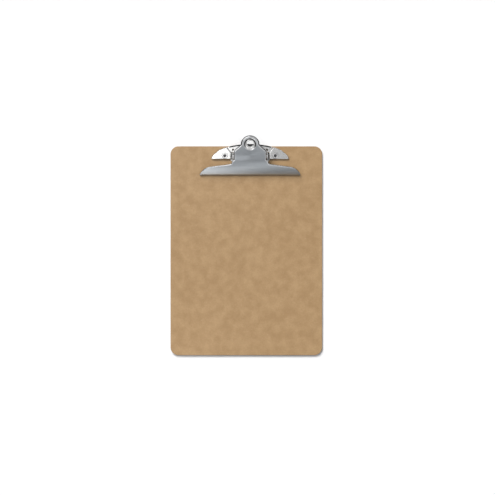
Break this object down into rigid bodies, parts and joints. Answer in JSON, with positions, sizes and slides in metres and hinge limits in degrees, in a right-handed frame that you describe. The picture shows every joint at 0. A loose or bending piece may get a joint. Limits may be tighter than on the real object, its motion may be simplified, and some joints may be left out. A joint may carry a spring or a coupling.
{
  "type": "clipboard",
  "caption": "Hardboard clipboard with round corners and a wide sprung steel clip: press the lever to lift the jaw; the lever has an eyelet to hang it by.",
  "frame": {"origin": "centre of the board's flat back face, on which the clipboard lies", "axes": "+Z out of the board's front face, +Y along the board to the clip end, +X to the right seen from the front"},
  "size_m": [0.2286, 0.3312, 0.0297],
  "materials": {
    "hardboard": "satin",
    "nickel_plate": "polished",
    "brushed_clamp": "brushed",
    "pin_steel": "satin",
    "spring_steel": "satin"
  },
  "bodies": {
    "root": {"board": "hardboard", "base_plate": "nickel_plate", "rivet_left": "nickel_plate", "rivet_right": "nickel_plate", "hinge_pin": "pin_steel", "torsion_spring": "spring_steel"},
    "clamp": {"clamp_plate": "brushed_clamp", "hanging_eyelet": "nickel_plate"}
  },
  "joints": [
    {"name": "clamp_hinge", "type": "hinge", "parent": "root", "child": "clamp", "pos_m": [0.0056, 0.1425, 0.0142], "axis": [-1, 0, 0], "range_deg": [0, 45], "stiffness_Nm_per_rad": 0.4, "springref_deg": -85.94, "deforming": ["torsion_spring"]}
  ]
}
